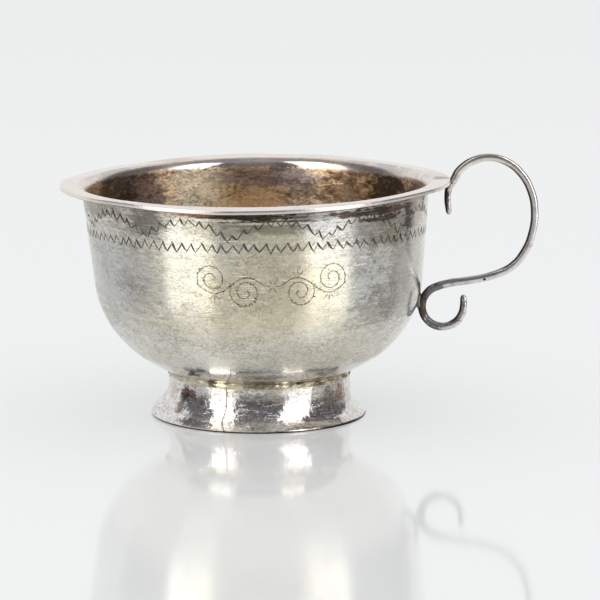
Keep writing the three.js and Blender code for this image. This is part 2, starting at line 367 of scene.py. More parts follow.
blackened, umber, straw = (0.030, 0.022, 0.015), (0.11, 0.065, 0.035), (0.90, 0.81, 0.57)
outsideSilver = wornSilver("outsideSilver", {
    **plainLook, "cool": (0.78, 0.78, 0.75), "warm": (0.81, 0.76, 0.64), "dull": (0.47, 0.44, 0.36),
    "drawnOut": 1.0, "gloss": (0.16, 0.26), "buffAndShade": [(0.0120, 0.0108)], "buffAndShadeGloss": 0.06,
    "buffAndShadeDepth": 0.35, "rubbed": [(onWall(76, 22, 26), (9, 10, 16), 0.04)],
    "pitStrength": 0.45, "gritDepth": 0.5, "glint": 0.12,
    "streak": (90, 90, 2200), "streakDepth": 0.65, "tear": (560, 560, 2300),
    "cloudScale": 150, "cloudEdges": (0.53, 0.62), "tarnish": (0.32, 0.29, 0.21), "tarnishRough": 0.12,
    "stainsAndShade": placed([
        (2, 23, 25, (12, 10, 13), 0.7, straw),
        (0, 12.5, 0, (60, 60, 5.5), 0.6, (0.88, 0.86, 0.80)),
        (-20, 17, 24, (7, 7, 5), 0.3, (0.40, 0.37, 0.30)),
        (20, 13, 20, (9, 9, 4), 0.35, (0.50, 0.44, 0.30)),
        (44, 19.5, 22, (6, 6, 4), 0.35, umber),
        (64, 24, 26, (7, 8, 12), 0.5, (0.36, 0.33, 0.28)),
        (-68, 24, 25, (6, 10, 14), 0.6, (0.44, 0.45, 0.45)),
        (-52, 23, 25, (8, 9, 9), 0.4, (0.50, 0.51, 0.50)),
        # painted dark reflection at the front of the bowl's underside, above the neck
        (2, 8.2, 15.5, (3.6, 3.0, 1.2), 0.8, (0.22, 0.21, 0.18)),
        # painted shade under the lip's overhang, darker all round, together with a tarnish film
        (0, 35.0, 0, (60, 60, 6.0), 0.4, (0.36, 0.34, 0.28)),
        (-20, 32.0, 26.3, (7, 7, 2.6), 0.6, (0.88, 0.85, 0.72)),
        (-9, 32.8, 26.3, (9, 8, 2.6), 0.5, (0.48, 0.44, 0.32)),
        (6, 31.2, 26.3, (6, 6, 2.0), 0.6, (0.84, 0.80, 0.58)),
        (5, 33.0, 26.3, (9, 8, 1.4), 0.6, (0.20, 0.17, 0.13)),
        (17, 34.4, 26.3, (6, 6, 1.2), 0.7, (0.22, 0.21, 0.20)),
        (22, 33.0, 26.3, (4, 5, 1.8), 0.5, (0.62, 0.64, 0.64)),
        (47, 31.5, 26.3, (8, 9, 3.2), 0.5, (0.30, 0.25, 0.20)),
        (-37, 33.0, 26.3, (4.5, 5, 2.8), 0.7, (0.20, 0.19, 0.17)),
        (-66, 34.0, 26.3, (7, 9, 2.2), 0.6, (0.24, 0.22, 0.19)),
        (0, 35.7, 0, (60, 60, 1.7), 0.6, umber),
        (-4, 34.5, 26.3, (10, 7, 0.8), 0.95, blackened),
        (-1, 33.8, 26.3, (12, 8, 0.35), 0.8, blackened),
        # painted glints: gold and white flecks under the lip
        (4, 33.5, 26.3, (7, 6, 0.3), 0.9, (0.86, 0.80, 0.60)),
        (-13, 33.9, 26.3, (5, 5, 0.3), 0.9, (0.88, 0.84, 0.70)),
        (-21, 34.6, 26.3, (3.5, 4, 0.35), 0.85, (0.26, 0.10, 0.05)),
        (40, 34.2, 26.3, (9, 9, 1.2), 0.95, (0.07, 0.05, 0.04)),
        (45, 33.2, 26.3, (6, 6, 0.5), 0.9, (0.07, 0.05, 0.04)),
        # painted glint: a pale fleck under the lip
        (36, 33.6, 26.3, (5, 5, 0.3), 0.8, (0.78, 0.72, 0.60)),
        (60, 33.0, 26.3, (1.4, 3.5, 3.2), 0.85, blackened),
        (52, 34.3, 26.3, (2.0, 3.0, 0.6), 0.7, (0.26, 0.11, 0.08)),
        (67, 33.0, 26.3, (2.2, 3.5, 3.0), 0.6, (0.46, 0.36, 0.30)),
        (150, 34, 26.3, (22, 22, 2.6), 0.8, umber),
        (-140, 34, 26.3, (18, 18, 2.2), 0.7, umber),
    ]),
})
lipSilver = wornSilver("lipSilver", {
    **plainLook, "cool": (0.86, 0.80, 0.76), "warm": (0.89, 0.79, 0.72), "dull": (0.62, 0.50, 0.42),
    "mottleDepth": 0.2, "streak": (400, 400, 400), "streakDepth": 0.15, "cloudDepth": 0.15,
    "gloss": (0.20, 0.30),
    "gritDepth": 0.04, "glint": 0.0, "tarnish": (0.50, 0.36, 0.26), "dentStrength": 0.03,
    "hairline": (500, 500, 500), "hairlineStrength": 0.05, "speckDepth": 0.25, "pitStrength": 0.03,
    "scratchDepth": 0.1,
    "stainsAndShade": [
        ((21.6, 0.6, 36.2), (1.9, 2.4, 1.4), 0.8, (0.34, 0.33, 0.34)),
        (onWall(-150, 36, 28.6), (6, 3, 2), 0.4, (0.62, 0.44, 0.34)),
        (onWall(100, 36, 28.6), (5, 6, 2), 0.3, (0.66, 0.56, 0.46)),
    ],
})
insideSilver = wornSilver("insideSilver", {
    **plainLook, "cool": (0.84, 0.67, 0.46), "warm": (0.96, 0.63, 0.31), "dull": (0.34, 0.20, 0.09),
    "speckScale": (2300, 2300, 3400), "speckEdges": (0.54, 0.61), "speckDepth": 0.5,
    "speck": (0.10, 0.055, 0.025),
    "mottleDepth": 0.85, "cloudScale": 260, "cloudEdges": (0.49, 0.56), "cloudDepth": 0.75,
    "tarnish": (0.13, 0.07, 0.035), "tarnishRough": 0.15, "gloss": (0.34, 0.46), "drawnOut": 0.6,
    "streak": (130, 130, 2200), "streakDepth": 0.8,
    "grit": (1500, 1500, 3200), "gritDepth": 0.8, "glint": 0.25,
    "buffAndShade": [(0.0352, 0.0359)], "buffAndShadeTone": (0.85, 0.81, 0.78), "buffAndShadeGloss": 0.24,
    "buffAndShadeTear": 0.0014, "buffAndShadeDepth": 0.65, "scratchDepth": 0.0, "tear": (420, 420, 1100),
    "rubbed": [((axisX - 9.5, 25.5, 36), (6, 3, 2), 0.12), ((axisX + 7.0, 25.8, 36), (6, 3, 2), 0.12)],
    "stainsAndShade": placed([
        (-156, 28, 25.6, (7, 9, 12), 0.75, (0.64, 0.60, 0.47)),
        (-172, 31, 25.6, (7, 7, 4), 0.4, (0.80, 0.52, 0.20)),
        (-178, 27, 25.6, (8, 7, 6), 0.4, (0.95, 0.62, 0.30)),
        (178, 33, 25.6, (10, 7, 2), 0.7, (0.24, 0.19, 0.20)),
        (168, 33.4, 25.6, (4.5, 5, 1.0), 0.7, (0.46, 0.42, 0.40)),
        (166, 31.6, 25.6, (4, 5, 0.6), 0.7, (0.42, 0.38, 0.35)),
        (160, 27, 25.6, (6, 7, 5), 0.6, (0.46, 0.38, 0.28)),
        (148, 25, 25.6, (5, 6, 4), 0.7, (0.42, 0.19, 0.05)),
        (150, 31, 25.6, (8, 6, 3), 0.7, (0.09, 0.06, 0.04)),
        (-132, 31, 25.6, (6, 8, 5), 0.7, (0.15, 0.12, 0.13)),
        (128, 28, 25.6, (5, 7, 14), 0.9, blackened),
        (-118, 28, 25.6, (8, 8, 14), 0.8, (0.06, 0.045, 0.035)),
    ]),
})
cutSilver = wornSilver("cutSilver", {
    **plainLook, "cool": (0.08, 0.08, 0.08), "warm": (0.20, 0.16, 0.11), "dull": (0.04, 0.035, 0.03),
    "driftScale": 260, "gloss": (0.35, 0.5), "cloudDepth": 0.3,
})
scrollSilver = wornSilver("scrollSilver", {
    **plainLook, "cool": (0.30, 0.27, 0.21), "warm": (0.42, 0.34, 0.20), "dull": (0.18, 0.15, 0.11),
    "driftScale": 260, "gloss": (0.35, 0.5), "cloudDepth": 0.2,
})
footSilver = wornSilver("footSilver", {
    **plainLook, "cool": (0.85, 0.83, 0.81), "warm": (0.86, 0.81, 0.76), "dull": (0.46, 0.41, 0.36),
    # painted contact shadow below 0.34 mm
    **paintedContactShadow, "buffAndShade": [(0.00034, 0.00020)], "buffAndShadeGloss": 0.3, "gloss": (0.06, 0.15),
    "streak": (110, 110, 2000), "streakDepth": 0.3, "mottleDepth": 0.45,
    "cloudScale": 260, "cloudEdges": (0.58, 0.74), "cloudDepth": 0.6, "tarnish": (0.30, 0.16, 0.08),
    "speckScale": (1300, 1300, 1700), "hairlineStrength": 0.3, "dentScale": 900, "dentStrength": 0.3,
    "grit": (1900, 1900, 2600), "gritDepth": 0.7, "glint": 0.35, "pitStrength": 0.4,
    "tear": (900, 900, 1300), "scratch": (600, 600, 4800), "scratchTurns": (12, 58, -40),
    "scratchDepth": 0.1,
    "stainsAndShade": placed([
        (-47, 4.8, 14.5, (1.3, 2.0, 0.9), 0.85, (0.22, 0.10, 0.05)),
        (-52, 4.5, 14.5, (1.3, 1.8, 1.6), 0.95, (0.07, 0.03, 0.015)),
        (-54, 2.6, 14.9, (1.0, 1.6, 2.2), 0.8, (0.16, 0.12, 0.09)),
        (61, 4.8, 14.3, (1.2, 2.0, 2.2), 0.7, (0.38, 0.19, 0.11)),
        (50, 4.2, 14.5, (2.0, 2.4, 2.2), 0.7, (0.24, 0.17, 0.12)),
        (-68, 4.6, 14.5, (1.4, 2.2, 1.6), 0.5, (0.62, 0.44, 0.36)),
        (4, 4.6, 14.2, (4.8, 3.0, 1.5), 0.6, (0.20, 0.16, 0.12)),
        (0, 6.6, 14.2, (16, 15, 0.9), 0.8, (0.62, 0.55, 0.38)),
    ]),
})
wireSilver = wornSilver("wireSilver", {
    **plainLook, "cool": (0.82, 0.80, 0.79), "warm": (0.84, 0.78, 0.71), "dull": (0.40, 0.35, 0.30),
    "streak": (500, 500, 500), "cloudScale": 420, "cloudEdges": (0.50, 0.70), "cloudDepth": 0.3,
    "tarnish": (0.24, 0.19, 0.14), "gloss": (0.15, 0.24), "hairline": (600, 600, 600),
    "hairlineStrength": 0.08, "speckDepth": 0.3, "pitStrength": 0.1, "dentStrength": 0.05,
    "scratchDepth": 0.1, "gritDepth": 0.2, "glint": 0.1, "tear": (500, 500, 500),
    # painted shade on the side of the wire turned to the bowl
    "paintedBowlShade": 0.97, "tarnishRough": 0.35,
    "stainsAndShade": [
        # painted dark reflection of the wall on the hook, under the lip
        ((22.1, -0.2, 33.0), (0.95, 1.6, 3.4), 0.95, (0.04, 0.03, 0.025)),
        # painted reflection of the dark room in the scroll
        ((22.0, 0, 16.7), (4.5, 3.0, 4.3), 0.85, (0.11, 0.12, 0.135)),
        ((18.8, 0, 17.0), (1.3, 2.0, 3.4), 0.85, (0.08, 0.06, 0.04)),
        ((28.5, -0.6, 20.9), (0.3, 0.5, 0.3), 1.0, blackened),
    ],
})
paleSolder = wornSilver("paleSolder", {
    **plainLook, "cool": (0.72, 0.66, 0.52), "warm": (0.74, 0.65, 0.45), "dull": (0.24, 0.18, 0.12),
    "streak": (260, 260, 1900), "streakDepth": 0.9, "cloudScale": 340, "cloudEdges": (0.5, 0.62),
    "cloudDepth": 0.85, "tarnish": (0.10, 0.07, 0.04), "gloss": (0.22, 0.36),
    "dentScale": 900, "dentStrength": 0.4,
    "stainsAndShade": placed([
        (2, 6.9, 15.2, (3.4, 3.0, 0.9), 0.75, (0.20, 0.16, 0.11)),
        (-17, 7.5, 15.2, (0.8, 2.0, 0.3), 0.9, blackened),
        (30, 7.3, 15.2, (1.4, 2.0, 0.3), 0.9, blackened),
        (24, 7.0, 15.2, (0.9, 2.0, 0.3), 0.9, blackened),
    ]),
})
brownSolder = wornSilver("brownSolder", {
    **lumpyLook, "cool": (0.40, 0.34, 0.26), "warm": (0.60, 0.50, 0.34), "dull": (0.22, 0.16, 0.10),
    # painted contact shadow below 0.4 mm
    **paintedContactShadow, "buffAndShade": [(0.00040, 0.00026)], "driftScale": 700, "streakDepth": 0.6,
    "cloudEdges": (0.52, 0.58), "tarnish": (0.14, 0.09, 0.05), "gloss": (0.4, 0.55), "metal": 0.9,
})
darkSolder = wornSilver("darkSolder", {
    **lumpyLook, "cool": (0.22, 0.20, 0.18), "warm": (0.30, 0.25, 0.19), "dull": (0.10, 0.08, 0.07),
    "streakDepth": 0.7, "gloss": (0.3, 0.45),
})
print("materials made")


# Bowl, raised from one sheet and set a little out of true on its foot

bowl = {
    "height": 36.2, "base": 3.93, "mouthRadius": 26.6, "flare": 5.4, "bellyRadius": 15.8,
    "bottomSlope": 32.6, "sheet": 0.6, "lipWidth": 3.36, "lipBend": 0.95, "lipDroop": 0.5,
    "edgeRound": 0.08, "tilt": 0.73, "drift": 0.0206, "offset": 0.3, "neckRadius": 14.05,
    "roundSteps": 320, "bottomSteps": 14, "bellySteps": 18, "wallSteps": 26, "bendSteps": 6,
    "lipSteps": 6, "lipStart": 0.6, "lipShare": 0.9, "insideFocus": 30,
    "dent": 0.034, "dentSize": 6.5, "fineDent": 0.010, "fineDentSize": 2.6, "evenEdge": 1.2,
    "waveStart": 0.4, "waves": 3, "lipWave": 0.26, "ripple": 0.16, "rippleRate": 3.2,
    "edgeWave": 0.05, "edgeRate": 6,
}

mouth, belly, sheet = bowl["mouthRadius"], bowl["bellyRadius"], bowl["sheet"]
flare, slope = radians(bowl["flare"]), radians(bowl["bottomSlope"])
wallSlope = pi / 2 - flare
wallTop = bowl["height"] - sheet - bowl["lipBend"] * (1 - cos(wallSlope))
sinSpan = sin(wallSlope) - sin(slope)
cosSpan = cos(slope) - cos(wallSlope)
bottomRatio = tan(slope / 2)
wallHeight = wallTop - bowl["base"] - belly * cosSpan - bottomRatio * (mouth - belly * sinSpan)
wallHeight /= 1 - bottomRatio * tan(flare)
bottomEdge = mouth - wallHeight * tan(flare) - belly * sinSpan
bottomRadius = bottomEdge / sin(slope)
bottomCentre = Vector((0, 0, bowl["base"] + bottomRadius))
bellyBase = bowl["base"] + bottomRadius * (1 - cos(slope))
bellyCentre = Vector((bottomEdge - belly * sin(slope), 0, bellyBase + belly * cos(slope)))
bendCentre = Vector((mouth + bowl["lipBend"] * sin(wallSlope), 0,
                     bowl["height"] - sheet - bowl["lipBend"]))


def underBowl(radius):  # height of the bowl's underside
    return bowl["base"] + bottomRadius - sqrt(bottomRadius ** 2 - radius ** 2)


jointHeight = underBowl(bowl["neckRadius"])
driftAway = Matrix.Identity(4)
driftAway[0][2] = -bowl["drift"]
lean = (Matrix.Translation((axisX + bowl["offset"], 0, jointHeight))
        @ Matrix.Rotation(radians(-bowl["tilt"]), 4, "Y") @ driftAway
        @ Matrix.Translation((0, 0, -jointHeight)))


def raiseBowl():
    bm = bmesh.new()
    tip = bmesh.ops.create_vert(bm, co=(0, 0, bowl["base"]))["vert"][0]
    bend = 90 - bowl["flare"] + bowl["lipDroop"]
    bellyTurn = 90 - bowl["flare"] - bowl["bottomSlope"]
    lipRun = mouth + bowl["lipWidth"] - bowl["edgeRound"] - bendCentre.x
    lipFall = tan(radians(bowl["lipDroop"])) * lipRun
    wallRun = Vector((wallHeight * tan(flare), 0, wallHeight))
    tip = arc(bm, tip, bottomCentre, bowl["bottomSlope"], bowl["bottomSteps"])
    tip = arc(bm, tip, bellyCentre, bellyTurn, bowl["bellySteps"])
    tip = run(bm, tip, wallRun, bowl["wallSteps"])
    tip = arc(bm, tip, bendCentre, -bend, bowl["bendSteps"])
    tip = run(bm, tip, (lipRun, 0, -lipFall), bowl["lipSteps"])
    tip = arc(bm, tip, tip.co + Vector((0, 0, bowl["edgeRound"])), 90, 3)  # filed, with softened corners
    tip = run(bm, tip, (0, 0, sheet - 2 * bowl["edgeRound"]), 2)
    tip = arc(bm, tip, tip.co + Vector((-bowl["edgeRound"], 0, 0)), 90, 3)
    tip = run(bm, tip, (-lipRun, 0, lipFall), bowl["lipSteps"])
    tip = arc(bm, tip, bendCentre, bend, bowl["bendSteps"])
    tip = run(bm, tip, -wallRun, bowl["wallSteps"])
    tip = arc(bm, tip, bellyCentre, -bellyTurn, bowl["bellySteps"])
    tip = arc(bm, tip, bottomCentre, -bowl["bottomSlope"], bowl["bottomSteps"])
    tip.co.x = 0
    spinRound(bm, bowl["roundSteps"])
    outward(bm)
    lipUnder = bowl["height"] - sheet * bowl["lipShare"]
    for face in bm.faces:  # outside, lip, inside
        middle = face.calc_center_median()
        reach = hypot(middle.x, middle.y)
        focus = Vector((middle.x, middle.y, middle.z - bowl["height"] - bowl["insideFocus"]))
        onLip = reach > mouth + bowl["lipStart"] and middle.z > lipUnder
        face.material_index = 1 if onLip else 2 if face.normal.dot(focus) < 0 else 0
    return bm


def weatherBowl(bm):
    lipRadius = mouth + bowl["lipWidth"]
    for vert in bm.verts:
        radius = hypot(vert.co.x, vert.co.y)
        onLip = smoothStep(mouth - bowl["waveStart"], lipRadius, radius)
        around = atan2(vert.co.x, -vert.co.y)
        wave = -cos(bowl["waves"] * around) * bowl["lipWave"]
        spot = Vector((cos(around), sin(around), 5.0)) * bowl["rippleRate"]
        vert.co.z += onLip * (wave + noise.noise(spot) * bowl["ripple"])
        spot = Vector((cos(around), sin(around), 9.0)) * bowl["edgeRate"]
        trim = abs(noise.noise(spot)) * bowl["edgeWave"]
        if radius > 1:
            pull = 1 - onLip * trim / radius
            vert.co.x *= pull
            vert.co.y *= pull
    inner = [vert for vert in bm.verts if hypot(vert.co.x, vert.co.y) < lipRadius - bowl["evenEdge"]]
    unsettle(inner, bowl["dent"], bowl["dentSize"], 3.1)
    unsettle(inner, bowl["fineDent"], bowl["fineDentSize"], 7.7)
    bmesh.ops.transform(bm, matrix=lean, verts=bm.verts[:])
    outward(bm)


bowlForm = raiseBowl()
weatherBowl(bowlForm)
print("bowl raised:", len(bowlForm.faces), "faces")


# Cut borders: a zigzag line all round, and a second one in festoons above it

borders = {
    "teeth": 103, "toothHeight": 1.25, "lineHeight": 29.35, "lineSway": 0.45, "lineWobble": 0.1, "turn": 8,
    "festoons": 11.6, "festoonRise": 2.9, "festoonGap": 1.0, "festoonShape": 0.8, "festoonTooth": 0.9,
    "width": 0.27, "depth": 0.11, "downstroke": 1.35, "upstroke": 0.8, "shake": 0.26, "seed": 11,
    "lifts": (0.7, 1.25), "widths": (0.55, 1.3), "depths": (0.7, 1.2), "overruns": (0.03, 0.12),
    "outsideAll": 45,
}
stroke = {"sides": 6, "rings": 7, "taper": 0.35, "bend": 0.5}


def wallPoint(tree, azimuth, height):  # the point of the outer wall at an azimuth, and its normal
    turn = radians(azimuth)
    away = Vector((sin(turn), -cos(turn), 0))
    middle = lean @ Vector((0, 0, height))
    start = Vector((middle.x, middle.y, height)) + away * borders["outsideAll"]
    spot, normal, _, _ = tree.ray_cast(start, -away)
    return spot, normal


def shapeStroke(tone):  # one cut of the tool: a spindle along Z, heavier at its start and a little bent
    bm = bmesh.new()
    bmesh.ops.create_uvsphere(bm, u_segments=stroke["sides"], v_segments=stroke["rings"], radius=1)
    for face in bm.faces:
        face.material_index = tone
    for vert in bm.verts:
        taper = 1 - stroke["taper"] * vert.co.z
        vert.co.x = vert.co.x * taper + stroke["bend"] * (1 - vert.co.z ** 2)
        vert.co.y *= taper
    return toMesh(bm, "stroke")


def cutStroke(bm, spindle, start, end, normal, width, depth):
    middle, along = (start + end) / 2, end - start
    side = along.cross(normal).normalized()
    turned = Matrix((side, normal, along.normalized())).transposed().to_4x4()
    shape = Matrix.Diagonal((width / 2, depth, along.length / 2, 1))
    placed = spindle.copy()
    placed.transform(Matrix.Translation(middle) @ turned @ shape)
    bm.from_mesh(placed)
    bpy.data.meshes.remove(placed)


def cutZigzag(bm, tree, spindle, line, height, chance):
    points, teeth = [], borders["teeth"]
    for step in range(2 * teeth):
        azimuth = (step + chance.uniform(-1, 1) * borders["shake"]) * 180 / teeth - 180
        lift = (height / 2 if step % 2 else -height / 2) * chance.uniform(*borders["lifts"])
        points.append(wallPoint(tree, azimuth, line(azimuth) + lift))
    for (start, normal), (end, _) in zip(points, points[1:] + points[:1]):
        weight = borders["downstroke"] if end.z < start.z else borders["upstroke"]
        width = borders["width"] * weight * chance.uniform(*borders["widths"])
        reach = (end - start) * chance.uniform(*borders["overruns"])
        depth = borders["depth"] * chance.uniform(*borders["depths"])
        cutStroke(bm, spindle, start - reach, end + reach, normal, width, depth)


def lowerLine(azimuth):
    sway = borders["lineSway"] * cos(radians(azimuth - borders["turn"]))
    return borders["lineHeight"] + sway + borders["lineWobble"] * sin(radians(3 * azimuth))


def festoonLine(azimuth):
    swing = abs(cos(pi * (azimuth - borders["turn"]) / 360 * borders["festoons"]))
    rise = borders["festoonRise"] * swing ** borders["festoonShape"]
    return lowerLine(azimuth) + borders["festoonGap"] + rise


# A running scroll in the middle of the front, the same on both sides of a small rosette

scroll = {
    "azimuth": 5.5, "height": 24.1, "stitch": 0.34, "overlap": 1.45, "width": 0.18, "depth": 0.065,
    "stemStart": 1.2, "stemEnd": 11.6, "swing": 1.25, "wave": 0.615, "petals": 6, "petalEnd": 1.15,
    "curls": [(4.15, -0.95, 2.35, 22, -600), (9.2, 0.95, 2.35, -22, 600)],  # centre, radius, start, turn
    "curlEye": 0.12, "curlRest": 0.88, "curlPace": 0.86, "curlShape": 0.8, "petalStart": 0.3,
    "wallRadius": 26, "stemSlack": 1.15, "curlMean": 0.6,
    "leaves": [(3.75, 1.4), (8.85, -1.4)], "leafTurns": (38, 90, 142), "leafStart": 0.25, "leafEnd": 1.2,
}


def rosetteLines():
    turns = [2 * pi * (petal + 0.5) / scroll["petals"] for petal in range(scroll["petals"])]
    reaches = (scroll["petalStart"], scroll["petalEnd"])
    return [[(reach * sin(turn), reach * cos(turn)) for reach in reaches] for turn in turns]


def scrollLines():  # lines of one side, as points along and up from the rosette, in mm
    length = scroll["stemEnd"] - scroll["stemStart"]
    steps = round(length * scroll["stemSlack"] / scroll["stitch"])  # longer, because it swings
    parts = [length * step / steps for step in range(steps + 1)]
    start, swing, wave = scroll["stemStart"], scroll["swing"], scroll["wave"]
    lines = [[(start + part, swing * sin(part * wave)) for part in parts]]
    for along, up, radius, start, turn in scroll["curls"]:
        steps = round(radius * scroll["curlMean"] * radians(abs(turn)) / scroll["stitch"])
        curl = []
        for step in range(steps + 1):
            gone = (step / steps) ** scroll["curlPace"]
            wide = scroll["curlEye"] + scroll["curlRest"] * (1 - gone) ** scroll["curlShape"]
            reach = radius * wide
            angle = radians(start + turn * gone)
            curl.append((along + reach * cos(angle), up + reach * sin(angle)))
        lines.append(curl)
    for along, up in scroll["leaves"]:
        for turn in scroll["leafTurns"]:
            over, out = cos(radians(turn)), copysign(sin(radians(turn)), up)
            lines.append([(along + reach * over, up + reach * out)
                          for reach in (scroll["leafStart"], scroll["leafEnd"])])
    return lines


def cutScroll(bm, tree, spindle, chance):
    spread = degrees(1 / scroll["wallRadius"])
    sided = [(1, line) for line in rosetteLines()]
    sided += [(side, line) for side in (-1, 1) for line in scrollLines()]
    for side, line in sided:
        spots = [wallPoint(tree, scroll["azimuth"] + side * along * spread, scroll["height"] + up)
                 for along, up in line]
        for (start, normal), (end, _) in zip(spots, spots[1:]):
            overlap = (end - start) * (scroll["overlap"] - 1) / 2 if len(line) > 2 else Vector()
            width = scroll["width"] * chance.uniform(*borders["depths"])
            depth = scroll["depth"] * chance.uniform(*borders["depths"])
            cutStroke(bm, spindle, start - overlap, end + overlap, normal, width, depth)


def engraveBowl(form):
    chance = random.Random(borders["seed"])
    tree = BVHTree.FromBMesh(form)
    dark, light = shapeStroke(0), shapeStroke(1)
    cuts = bmesh.new()
    cutZigzag(cuts, tree, dark, lowerLine, borders["toothHeight"], chance)
    cutZigzag(cuts, tree, dark, festoonLine, borders["toothHeight"] * borders["festoonTooth"], chance)
    cutScroll(cuts, tree, light, chance)
    outward(cuts)
    return cuts


def cutAway(mesh, cutter):  # takes the cutter out of the mesh, with the cutter's material in the cuts
    target = bpy.data.objects.new("target", mesh)
    tool = bpy.data.objects.new("tool", cutter)
    cut = target.modifiers.new("cut", "BOOLEAN")
    cut.operation, cut.solver, cut.material_mode, cut.object = "DIFFERENCE", "MANIFOLD", "TRANSFER", tool
    return applied(target, tool)


cuts = engraveBowl(bowlForm)
bowlMesh = toMesh(bowlForm, "bowlPlain")
cutMesh = toMesh(cuts, "cuts")
for skin in (outsideSilver, lipSilver, insideSilver):
    bowlMesh.materials.append(skin)
for skin in (cutSilver, scrollSilver):
    cutMesh.materials.append(skin)
placePiece("engravedBowl", cutAway(bowlMesh, cutMesh), [], "bowl")


# Spool foot, rolled from a strip, with its butt seam at the front left

foot = {
    "neckRadius": bowl["neckRadius"], "neckHeight": 2.1, "spread": 2.51, "sheet": 0.8, "land": 0.35,
    "seamAzimuth": -20, "seamWidth": 0.18, "roundSteps": 300, "flareSteps": 20, "neckSteps": 6,
    "flareShift": -0.72, "flareMiddle": 1.2, "flareBelow": 0.75, "flareAbove": 1.7, "neckShift": -0.1,
    "twist": 2.4, "twistTop": 5, "dent": 0.05, "dentSize": 5.0, "fineDent": 0.022, "fineDentSize": 1.6,
    "evenLand": 0.5, "intoJoint": 0.15,
}
neck = foot["neckRadius"]
flareTop = jointHeight - foot["neckHeight"]
flareDrop = flareTop - foot["land"]
flareRadius = (foot["spread"] ** 2 + flareDrop ** 2) / (2 * foot["spread"])
flareTurn = degrees(asin(flareDrop / flareRadius))
flareCentre = Vector((neck + flareRadius, 0, flareTop))


def footLine(bm):  # outer face from the table to the bowl
    tip = bmesh.ops.create_vert(bm, co=(neck + foot["spread"], 0, 0))["vert"][0]
    tip = run(bm, tip, (0, 0, foot["land"]))
    tip = arc(bm, tip, flareCentre, -flareTurn, foot["flareSteps"])
    return run(bm, tip, (0, 0, foot["neckHeight"] + foot["intoJoint"]), foot["neckSteps"])


def weatherFoot(verts):
    for vert in verts:
        rise = vert.co.z
        turn = radians(foot["twist"]) * (1 - smoothStep(0, foot["twistTop"], rise))
        vert.co.rotate(Matrix.Rotation(turn, 3, "Z"))
        spread = foot["flareBelow"] if rise < foot["flareMiddle"] else foot["flareAbove"]
        pushed = exp(-((rise - foot["flareMiddle"]) / spread) ** 2)
        vert.co.x += foot["neckShift"] + foot["flareShift"] * pushed
    upper = [vert for vert in verts if vert.co.z > foot["evenLand"]]
    unsettle(upper, foot["dent"], foot["dentSize"], 1.3)
    unsettle(upper, foot["fineDent"], foot["fineDentSize"], 4.9)


def rollFoot():
    bm = bmesh.new()
    tip = footLine(bm)
    tip = run(bm, tip, (-foot["sheet"], 0, 0))
    tip = run(bm, tip, (0, 0, -foot["neckHeight"] - foot["intoJoint"]), foot["neckSteps"])
    innerTurn = degrees(asin(min(1, flareTop / (flareRadius + foot["sheet"]))))
    tip = arc(bm, tip, flareCentre, innerTurn, foot["flareSteps"])
    tip.co.z = 0
    start = next(vert for vert in bm.verts if abs(vert.co.z) < 1e-6 and vert is not tip)
    bmesh.ops.contextual_create(bm, geom=[start, tip])
    gap = degrees(foot["seamWidth"] / neck)
    turnRound(bm, foot["seamAzimuth"] - 90 + gap / 2)
    spinRound(bm, foot["roundSteps"], 360 - gap)
    bmesh.ops.holes_fill(bm, edges=[edge for edge in bm.edges if edge.is_boundary])
    outward(bm)
    weatherFoot(bm.verts)
    shift(bm, (axisX, 0, 0))
    outward(bm)
    return bm


placePiece("spoolFoot", rollFoot(), [footSilver], "foot_strip")

seam = {"overlap": 1.15, "cuts": 5, "roundSteps": 6, "proud": 0.02, "rough": 0.06, "roughRate": 3.1,
        "stray": 0.12, "strayRate": 4.1, "thickness": 0.5}


def fillSeam():
    bm = bmesh.new()
    footLine(bm)
    half = degrees(foot["seamWidth"] / neck) / 2
    turnRound(bm, foot["seamAzimuth"] - 90 - half * seam["overlap"])
    bmesh.ops.subdivide_edges(bm, edges=bm.edges[:], cuts=seam["cuts"])
    spinRound(bm, seam["roundSteps"], half * 2 * seam["overlap"])
    outward(bm)
    for vert in bm.verts:
        away = Vector((vert.co.x, vert.co.y, 0)).normalized()
        vert.co += away * (seam["proud"] + seam["rough"] * noise.noise(vert.co * seam["roughRate"]))
        stray = seam["stray"] * noise.noise(Vector((0, 0, vert.co.z * seam["strayRate"])))
        vert.co += Vector((-away.y, away.x, 0)) * stray
    bmesh.ops.solidify(bm, geom=bm.faces[:], thickness=seam["thickness"])
    outward(bm)
    weatherFoot(bm.verts)
    for vert in bm.verts:
        vert.co.z = max(vert.co.z, 0.0)  # none of it goes under the table
    shift(bm, (axisX, 0, 0))
    return bm


placePiece("seamSolder", fillSeam(), [brownSolder], "foot_seam_solder")


# Pale solder round the top of the neck

joint = {
    "low": 6.2, "swell": 0.24, "reach": 0.95, "inset": 0.1, "swellHeight": 0.75, "intoBowl": 0.06,
    "roundSteps": 300, "rough": 0.09, "roughSize": 1.2, "sag": 0.1, "sagTop": 7.4,
    "sagRate": 0.8, "sagShift": 4, "skin": 0.05, "lowRise": 0.1, "topRise": 0.02,
    "crack": 0.2, "crackHeight": 6.85, "crackSway": 0.2, "crackWidth": 0.12, "crackEnds": (-0.1, 0.15),
    "crackRate": 6, "swayRate": 7,
}


